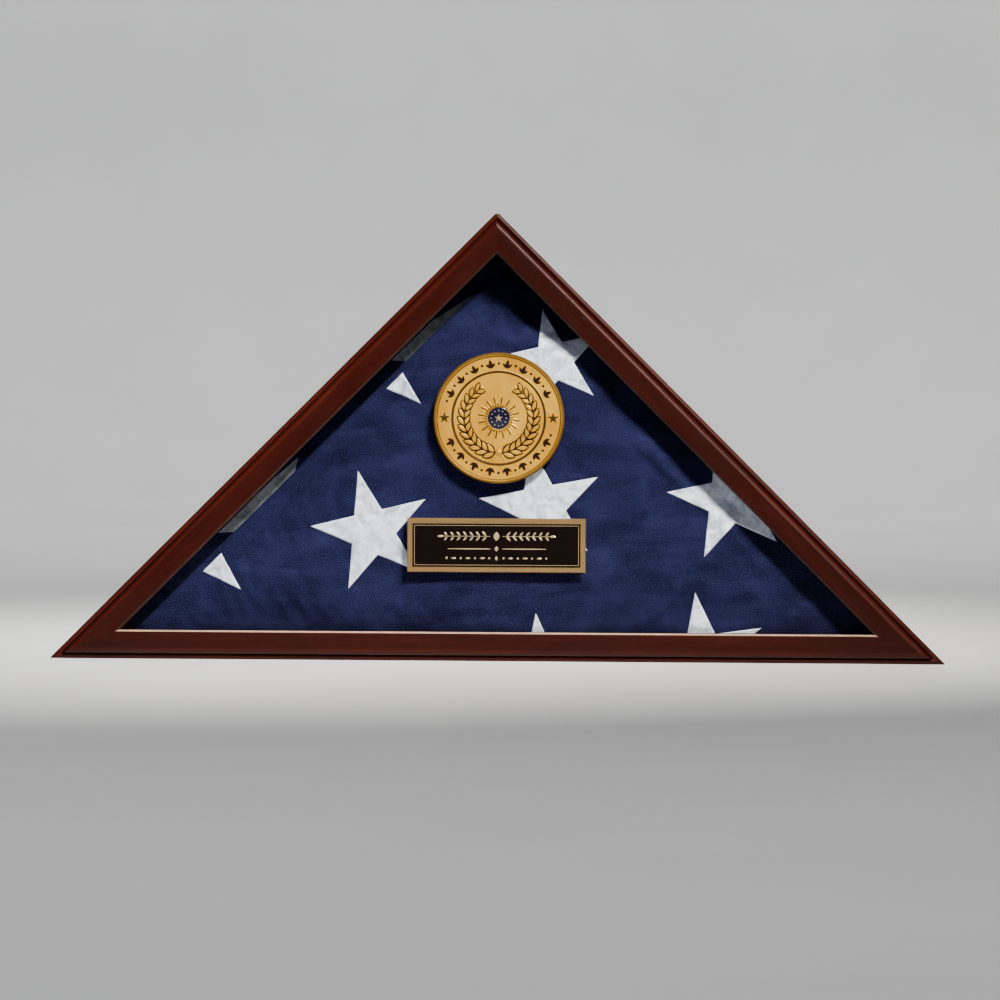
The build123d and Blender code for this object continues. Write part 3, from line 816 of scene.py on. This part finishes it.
def make_stars(front, under, rear):
    """The stars on the front leaf, the two that show below its left edge, and those at the rear."""
    def on_front(x, z):
        _, left, right = insets(x, z)
        sides = np.minimum(left - STAR_LEFT_INSET, right - FLAG_LEG_INSET - 1)
        return np.minimum(sides, z - FLAG_BASE_INSET) - 0.5

    def on_under(x, z):
        left = insets(x, z)[1]
        return np.minimum(left - FLAG_LEG_INSET - 4, FRONT_LEAF_LEFT_INSET + 8 - left)

    def on_rear(x, z):
        _, left, right = insets(x, z)
        return np.minimum(np.minimum(left, right) - FLAG_LEG_INSET, z - FLAG_BASE_INSET) - 4

    # The union's grid of stars as it lies on the front leaf: columns, rows, shift, tilt and stretch.
    first, step_along, step_up = np.array([[-90.9, 92.3], [129.0, 13.0], [5.2, 120.0]])
    grid = [
        (0, 0, (0, 1.5), 13.5, 0.98),
        (1, 0, (-5, 7), 10.5, 1.0),
        (1, 1, (-2, -6), 13.0, 0.83),
        (2, 0, (3.5, 0.5), 12.0, 1.0),
        (2, -1, (-10, 6), 8.0, 1.0),
        (1, -1, (1, 3), 6.0, 1.0),
        (0, 1, (-5, 6), 12.5, 1.0),
        (-1, 0, (-1.6, 3), 11.0, 1.0),
    ]
    front_places = [(*(first + columns * step_along + rows * step_up + shift), tilt, stretch)
                    for columns, rows, shift, tilt, stretch in grid]
    under_places = [(-48.0, 232.0, 33.0, 1.0), (-172.0, 108.0, 40.0, 1.0)]
    rear_places = [(-70.0, 96.0, -14.0, 1.0), (66.0, 88.0, -12.0, 1.0), (8.0, 190.0, -13.0, 1.0)]
    thread = star_finish()
    made = []
    for places, leaf, keep, side in ((front_places, front, on_front, -1),
                                     (under_places, under, on_under, -1), (rear_places, rear, on_rear, 1)):
        for place in places:
            made.append(make_star(f"flag_star_{len(made) + 1}", place, leaf, keep, thread, side))
    return made


# ---------------- medallion


def disc_grid(count):
    """A square grid carried onto a disc of radius 1: even cells and a clean round edge."""
    steps = np.linspace(-1, 1, count)
    u, v = np.meshgrid(steps, steps)
    wide = abs(u) > abs(v)
    reach = np.where(wide, u, v)
    safe = np.where(reach == 0, 1, reach)
    angle = np.where(wide, math.pi / 4 * v / safe, math.pi / 2 - math.pi / 4 * u / safe)
    return reach * np.cos(angle), reach * np.sin(angle)


def almond(x, z, centre, direction, length, width):
    """A leaf shape's height, from 0 at its edge to 1 on its middle line, with a fine midrib."""
    dx, dz = x - centre[0], z - centre[1]
    along = (dx * math.cos(direction) + dz * math.sin(direction)) / (length / 2)
    across = (dz * math.cos(direction) - dx * math.sin(direction)) / (width / 2)
    bound = np.clip(1 - along ** 2, 0, 1)
    body = np.clip(1 - (across / np.maximum(bound, 1e-3)) ** 2, 0, 1) * (abs(along) < 1)
    rib = 1 - 0.45 * np.exp(-(across / 0.16) ** 2) * (along < 0.8)
    return np.sqrt(body) * rib


def star_height(x, z, centre, radius):
    """A small faceted star's height, 1 at its centre and 0 at its edge."""
    dx, dz = x - centre[0], z - centre[1]
    turn = np.arctan2(dz, dx) - math.radians(90)
    angle = abs((turn / (2 * math.pi / 5) + 0.5) % 1 - 0.5) * 2 * math.pi / 5
    valley_x, valley_z = at(STAR_VALLEY, math.pi / 5)
    limit = valley_z / (np.cos(angle) * valley_z + np.sin(angle) * (1 - valley_x))
    return np.clip(1 - np.hypot(dx, dz) / (radius * limit), 0, 1)


def plateau(value, low, high, slope):
    """1 between low and high, falling to 0 over slope outside them."""
    return smooth_step(value, low - slope, low) * (1 - smooth_step(value, high, high + slope))


def emblem_relief(x, z):
    """Height of the medallion's relief from 0 to 1, and where dark patina is laid on."""
    reach, turn = np.hypot(x, z), np.arctan2(z, x)
    height, dark = np.full_like(x, FIELD_HEIGHT), np.zeros_like(x)

    def raise_to(value):
        np.maximum(height, value, out=height)

    def stain(value):
        np.maximum(dark, value, out=dark)

    def away(centre):
        return np.hypot(x - centre[0], z - centre[1])

    def dome(distance, radius):
        return np.sqrt(np.clip(1 - (distance / radius) ** 2, 0, 1))

    raise_to(0.85 * plateau(reach, 45.4, 47.2, 0.45))
    raise_to(0.62 * plateau(reach, 33.4, 34.4, 0.35))
    stain(0.85 * plateau(reach, 44.6, 45.3, 0.35))
    stain(0.95 * plateau(reach, 33.0, 34.4, 0.4))

    for k in range(SPRIGS):
        angle = 2 * math.pi * (k + 0.5) / SPRIGS
        if abs(math.sin(angle)) < 0.20:
            continue
        for lean, length, width in ((0, 6.6, 2.7), (44, 5.0, 2.1), (-44, 5.0, 2.1)):
            turned = angle + math.radians(lean)
            mark = almond(x, z, at(length / 2, turned, at(SPRIG_R, angle)), turned, length, width)
            stain(np.clip(mark * 3, 0, 1))
            sunk = FIELD_HEIGHT - 0.14 * np.clip(mark * 2, 0, 1)
            np.minimum(height, np.where(mark > 0, sunk, 1), out=height)
        stain(1 - smooth_step(away(at(39.8, angle + math.pi / SPRIGS)), 0.85, 1.15))
    for side in (-1, 1):
        star = star_height(x, z, (side * 39.6, 0.0), 4.6)
        raise_to(0.2 + 0.4 * star * (star > 0))
        stain(0.95 * (star > 0.02))

    shade = np.zeros_like(x)
    for side in (-1, 1):
        stem = np.exp(-((reach - WREATH_R) / 0.5) ** 2) * (np.sign(x) == side) * (z < 19.5)
        raise_to(FIELD_HEIGHT + 0.30 * stem)
        stain(0.5 * stem)
        for k in range(WREATH_LEAVES):
            share = (k + 0.6) / WREATH_LEAVES
            angle = math.radians(-90 + side * (8 + 142 * share))
            grown = 1.0 - 0.25 * share
            for out in (-1, 1):
                lean = angle + side * (math.pi / 2) - side * out * math.radians(34)
                centre = at(WREATH_R + out * 2.5 * grown, angle)
                leaf = almond(x, z, centre, lean, 8.6 * grown, 3.3 * grown)
                halo = almond(x, z, centre, lean, 11.0 * grown, 5.6 * grown)
                across = (x - centre[0]) * math.sin(lean) - (z - centre[1]) * math.cos(lean)
                raise_to(FIELD_HEIGHT + 0.52 * leaf)
                shade = np.where(halo > 0, 1.0 * (leaf < 0.50), shade)
                shade = np.where(leaf > 0.5, 0.55 * np.exp(-(across / 0.16) ** 2), shade)
            berry = away(at(WREATH_R, angle + side * math.radians(6)))
            raise_to(0.3 + 0.4 * dome(berry, 0.9))
    stain(shade)
    for side in (-1, 1):
        for lean, length in ((math.radians(250), 7.5), (math.radians(222), 6.5)):
            centre = (side * 2.8, -27.2 - 0.6 * length / 6.5)
            raise_to(0.2 + 0.55 * almond(x, z, centre, lean if side < 0 else math.pi - lean, length, 2.1))
    knot = away((0, -25.2))
    raise_to(0.25 + 0.65 * dome(knot, 2.4))
    stain(0.6 * plateau(knot, 2.3, 2.6, 0.25))

    ray = turn / (2 * math.pi / SUN_RAYS) + 0.25
    facet = abs(ray % 1 - 0.5) * 2
    sun = (reach > 8.2) * (reach < 13.4 + 4.4 * (ray // 1 % 2) - 3.4 * (1 - facet))
    sun_height = 0.22 + 0.62 * facet * np.clip(1 - (reach - 8) / 14, 0, 1)
    raise_to(np.where(sun, sun_height, 0))
    stain(0.9 * sun * (facet < 0.46))
    collar = plateau(reach, 8.3, 10.0, 0.3)
    rope = 0.5 + 0.5 * np.sin(turn * 44 + (reach - 9.1) * 2.6)
    raise_to(0.8 * collar)
    stain(0.65 * collar * (rope > 0.82))
    cup = 1 - smooth_step(reach, 7.9, 8.3)
    height = (height - 0.22 * collar * rope) * (1 - cup) + 0.05 * cup
    return np.clip(height, 0, 1), dark


def make_medallion():
    """The gilt disc as one relief: rim, border, laurel wreath and sunburst round the enamel."""
    front_y, rear_y, centre, (radius, _) = face_of("medallion_disc")
    x, z = (part * radius for part in disc_grid(GRID_COUNT))
    reach = np.hypot(x, z)
    height, dark = emblem_relief(x, z)
    y = front_y + RELIEF_DEPTH * (1 - height) + 0.5 * fall(radius - reach, 0.6)
    front = np.stack([centre[0] + x, y, centre[1] + z], -1).reshape(-1, 3)
    index = np.arange(len(front)).reshape(x.shape)
    cells = np.stack([index[:-1, :-1], index[:-1, 1:], index[1:, 1:], index[1:, :-1]], -1)
    loop = [*index[0, :-1], *index[:-1, -1], *index[-1, :0:-1], *index[:0:-1, 0]]
    loop = [int(i) for i in loop]
    rear = front[loop] * (1, 0, 1) + (0, rear_y, 0)
    points = np.concatenate([front, rear, [(centre[0], rear_y, centre[1])]])
    faces = cells.reshape(-1, 4).tolist()
    first, count = len(front), len(loop)
    for k in range(count):
        after = (k + 1) % count
        faces.append([loop[after], loop[k], first + k, first + after])
        faces.append([first + after, first + k, first + count])
    piece = mesh_piece("medallion_relief", points, faces, emblem_finish())
    patina = np.full(len(points), RIM_PATINA)
    edge = smooth_step(reach, radius - 2.4, radius - 1.6)
    patina[:first] = np.maximum(dark, RIM_PATINA * edge).ravel()
    piece.data.attributes.new("patina", "FLOAT", "POINT").data.foreach_set("value", patina)
    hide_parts("medallion_disc")
    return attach(piece, "case")


def make_enamel():
    """The blue enamel at the centre, domed and held by the rope collar, with a small gilt star on it."""
    front_y, rear_y, centre, (radius, _) = face_of("medallion_enamel")
    outline = round_outline(*centre, radius, 72)
    flat, faces = cut_flat(outline, 0.8, (0.2, 0.5))
    reach = np.linalg.norm(flat - centre, axis=1) / radius
    front = front_y + 0.15 + 0.7 * reach ** 2
    dome = shell_piece("medallion_enamel_dome", flat, faces, len(outline), front, rear_y, enamel_finish())
    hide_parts("medallion_enamel")
    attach(dome, "case")
    shells = [raised(star_outline(*centre, 3.3, 0, 9), front_y + 0.02, front_y + 0.52)]
    for k in range(ENAMEL_BEADS):
        bead = round_outline(*at(5.6, 2 * math.pi * k / ENAMEL_BEADS, centre), ENAMEL_BEAD_R, 10)
        shells.append(raised(bead, front_y + 0.36, front_y + 0.86))
    gilt = metal_finish("enamel_gilt", (0.86, 0.66, 0.34), (0.55, 0.34, 0.12), 0.34)
    marks = mesh_piece("medallion_enamel_marks", *joined(shells), gilt, smooth=False)
    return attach(marks, "case")


# ---------------- nameplate


def raised(outline, front, rear, bevel=0.12):
    """A small raised shape with a bevelled edge, from a closed outline."""
    centre = outline.mean(0)
    inner = centre + (outline - centre) * (1 - bevel)
    count = len(outline)
    middle = front + (rear - front) * 0.35

    def ring(flat, y):
        return np.stack([flat[:, 0], np.full(count, y), flat[:, 1]], 1)

    points = np.concatenate([ring(inner, front), ring(outline, middle), ring(outline, rear)])
    faces = [list(range(count)), [i + 2 * count for i in reversed(range(count))]]
    return points, faces + ring_faces(0, count, count) + ring_faces(count, count, count)


def almond_outline(x, z, turn, length, width, steps=9):
    """A leaf's closed outline about its centre, its stem end first."""
    along = np.linspace(-1, 1, steps)
    side = np.stack([along * length / 2, (1 - along ** 2) * width / 2], 1)
    shape = np.concatenate([side * (1, -1), side[-2:0:-1]])
    cos, sin = math.cos(math.radians(turn)), math.sin(math.radians(turn))
    return shape @ np.array([[cos, sin], [-sin, cos]]) + (x, z)


def band_outline(start, end, width):
    """A straight line's outline, of even width."""
    start, end = np.array(start, float), np.array(end, float)
    along = unit(end - start)
    out = np.array([-along[1], along[0]]) * width / 2
    return np.array([start - out, end - out, end + out, start + out])


def round_outline(x, z, radius, steps=18):
    turns = np.linspace(0, 2 * math.pi, steps, endpoint=False)
    return np.stack([x + radius * np.cos(turns), z + radius * np.sin(turns)], 1)


def plate_outlines(centre, half):
    """The plate's ornament: a fine frame, a laurel spray, a tapered rule and a row of beads."""
    (left, low), (right, high) = centre - half + PLATE_INSET, centre + half - PLATE_INSET
    ends = [(left, low), (right, low), (right, high), (left, high)]
    shapes = [band_outline(ends[k - 1], ends[k], PLATE_LINE) for k in range(4)]
    x, z = centre
    spray_z, rule_z, bead_z = z + 6.6, z - 2.6, z - 9.4
    shapes.append(almond_outline(x, spray_z, 90, 6.4, 4.2))
    shapes.append(almond_outline(x, rule_z, 90, 3.6, 2.6))
    shapes.append(almond_outline(x, bead_z, 90, 3.0, 2.0))
    for side in (-1, 1):
        outward = 0 if side > 0 else 180
        stem = band_outline((x + side * 4.5, spray_z), (x + side * 39, spray_z), 0.34)
        shapes.append(stem[::side])
        shapes.append(almond_outline(x + side * 41, spray_z, outward, 4.4, 1.5))
        shapes.append(almond_outline(x + side * 20, rule_z, 0, 33, 0.9))
        for k in range(7):
            leaf_x, bead_x = x + side * (8.8 + 4.7 * k), x + side * 5.2 * (k + 1)
            for up in (-1, 1):
                lean = outward + side * up * 48
                shapes.append(almond_outline(leaf_x, spray_z + up * 1.75, lean, 4.4 - 0.16 * k, 1.35))
            if k % 2:
                shapes.append(almond_outline(bead_x, bead_z, 0, 3.6, 1.3))
            else:
                shapes.append(round_outline(bead_x, bead_z, 0.72))
    return shapes


def make_plate_ornament():
    front_y, _, centre, half = face_of("nameplate_panel")
    front, rear = front_y - ORNAMENT_RISE, front_y + 0.05
    points, faces = joined([raised(shape, front, rear) for shape in plate_outlines(centre, half)])
    gilt = metal_finish("plate_gilt", (0.80, 0.62, 0.36), (0.55, 0.36, 0.16), 0.36)
    piece = mesh_piece("nameplate_ornament", points, faces, gilt, smooth=False)
    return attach(piece, "case")


# ---------------- felt


def make_felt():
    """The felt on the back panel's front: one thin sheet, its cut edge slightly uneven."""
    low, high = corners("back_panel_felt")
    reach = leg_reach("back_panel_felt")
    leg = (HALF_WIDTH - reach) / ROOT2
    outline = leaf_outline(low[2], leg, leg, 6, 6, 2.6)
    flat, faces = cut_flat(outline, 4.2, (0.4, 1.6))
    x, z = flat.T
    nap = 0.06 * value_noise(x, z, 7, 61) + 0.05 * value_noise(x, z, 24, 62)
    edge = 0.25 * fall(edge_distance(flat, outline), 1.2)
    front = low[1] + 0.1 + nap + edge
    piece = shell_piece("felt_lining", flat, faces, len(outline), front, high[1], felt_finish())
    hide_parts("back_panel_felt")
    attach(piece, "back_panel")
    return piece


# ---------------- CAD nodes' finishes


def dress(material, *names):
    """Puts a material in every slot of these CAD nodes."""
    for name in names:
        slots = NODES[name].data.materials
        slots.clear()
        slots.append(material)


def dress_case():
    half = HALF_WIDTH * MM / ROOT2
    s = 1 / ROOT2
    # Rail tones differ although the faces lie in one plane: the right rail's darker tone is painted shade and
    # the left rail's lighter one is painted light. The base rail's large bevel share is mostly a painted
    # highlight on its upward sight bevel.
    dress(rail_finish("rail_wood_base", (1, 0, 0), (0, 0, 1), 0.0, 0.13, 0.72, 0.9), "base_rail")
    dress(rail_finish("rail_wood_left", (s, 0, s), (s, 0, -s), half, 1.71, 0.80, 0.06), "left_rail")
    dress(rail_finish("rail_wood_right", (-s, 0, s), (-s, 0, -s), half, 2.93, 0.66, 0.10), "right_rail")
    dress(strip_finish(), "glass_strip_base", "glass_strip_left", "glass_strip_right")
    dress(glass_finish(), "glass_pane")
    steel = metal_finish("steel", (0.56, 0.56, 0.57), (0.20, 0.19, 0.18), 0.34)
    dress(steel, "corner_v_nails", "glass_strip_brads", "turn_button_screws")
    button = metal_finish("button_brass", (0.70, 0.47, 0.19), (0.30, 0.18, 0.07), 0.32, (300, 900, 2400))
    washer = metal_finish("washer_brass", (0.74, 0.52, 0.23), (0.34, 0.21, 0.09), 0.30)
    dress(button, *(f"turn_button_{k}" for k in range(1, 7)))
    dress(washer, "turn_button_washers")
    dress(foam_finish(), "medallion_tape", "nameplate_tape")
    border = metal_finish("plate_brass", (0.46, 0.29, 0.115), (0.27, 0.155, 0.055), 0.36, (60, 900, 5200))
    dress(border, "nameplate_base")
    dress(plate_black_finish(), "nameplate_panel")
    dress(hardboard_finish(), "back_panel")


# ---------------- stage, light and camera


def make_stage():
    """A round pale floor that sweeps up to a wall on every side."""
    flat, bend, rise, sides = 2.9, 0.7, 4.2, 96
    profile = [(0.5, 0.0)] + [
        (flat + bend * math.sin(a), bend * (1 - math.cos(a))) for a in np.linspace(0, math.pi / 2, 12)
    ] + [(flat + bend, rise)]
    turns = np.linspace(0, 2 * math.pi, sides, endpoint=False)
    points = [(r * math.cos(a) / MM, r * math.sin(a) / MM, z / MM) for r, z in profile for a in turns]
    faces = [list(range(sides))]
    for ring in range(len(profile) - 1):
        for k in range(sides):
            here, there = ring * sides + k, ring * sides + (k + 1) % sides
            faces.append([here, here + sides, there + sides, there])
    mesh_piece("studio_sweep", points, faces, floor_finish())


def hang(name, lamp, place, target):
    """A lamp placed and turned to its target."""
    holder = bpy.data.objects.new(name, lamp)
    holder.location = place
    holder.rotation_euler = (Vector(target) - Vector(place)).to_track_quat("-Z", "Y").to_euler()
    bpy.context.scene.collection.objects.link(holder)
    return holder


def make_light():
    """A key from above and a little to the right, cut to the case's height, with weak fill."""
    key = bpy.data.lights.new("key", "SPOT")
    key.energy = 1650
    key.color = (1.0, 0.965, 0.92)
    key.shadow_soft_size = 0.30
    key.spot_size = math.radians(28)
    key.spot_blend = 0.5
    hang("key", key, (0.86, -1.70, 1.72), (0.0, 0.0, 0.125)).scale = (1.0, 0.30, 1.0)
    panels = [
        ("fill", (-1.6, -2.3, 0.9), (0.0, 0.0, 0.13), (1.6, 1.2), 7.0, (0.34, 0.50, 1.0), 180),
        ("foreground", (0.0, -1.3, 2.6), (0.0, -1.3, 0.0), (2.6, 0.8), 8.5, (1.0, 0.975, 0.92), 70),
        ("backdrop", (0.0, 1.3, 3.0), (0.0, 3.1, 0.4), (3.4, 0.5), 66, (1.0, 0.99, 0.97), 130),
        ("rear", (-0.9, 2.3, 1.9), (0.0, 0.0, 0.12), (1.8, 1.8), 4.0, (1.0, 0.98, 0.95), 60),
    ]
    for name, place, target, size, power, colour, spread in panels:
        lamp = bpy.data.lights.new(name, "AREA")
        lamp.shape = "RECTANGLE"
        lamp.size, lamp.size_y = size
        lamp.energy = power
        lamp.color = colour
        lamp.spread = math.radians(spread)
        hang(name, lamp, place, target)
    world = bpy.data.worlds.new("studio")
    world.use_nodes = True
    sky = world.node_tree.nodes["Background"]
    sky.inputs["Color"].default_value = (0.85, 0.92, 1.0, 1)
    sky.inputs["Strength"].default_value = 0.022
    bpy.context.scene.world = world


def make_camera():
    """Level with the upper part of the case, a little to its right."""
    camera = bpy.data.cameras.new("camera")
    camera.lens = 123.7
    camera.sensor_width = 36
    camera.clip_end = 50
    holder = bpy.data.objects.new("camera", camera)
    holder.location = (0.0999, -2.5334, 0.200)
    turn = Euler((math.radians(90 - 1.886), 0, math.radians(2.221)))
    roll = Euler((0, 0, math.radians(0.247)))
    holder.rotation_euler = (turn.to_matrix() @ roll.to_matrix()).to_euler()
    bpy.context.scene.collection.objects.link(holder)
    bpy.context.scene.camera = holder


make_camera()
make_light()
make_stage()
dress_case()
make_medallion()
make_enamel()
make_plate_ornament()
make_felt()

front_leaf, middle_leaves, rear_leaf = make_flag()
stars = make_stars(front_leaf, middle_leaves[0], rear_leaf)
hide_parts("folded_flag")
for piece in (front_leaf, rear_leaf, *middle_leaves, *stars):
    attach(piece, "flag")
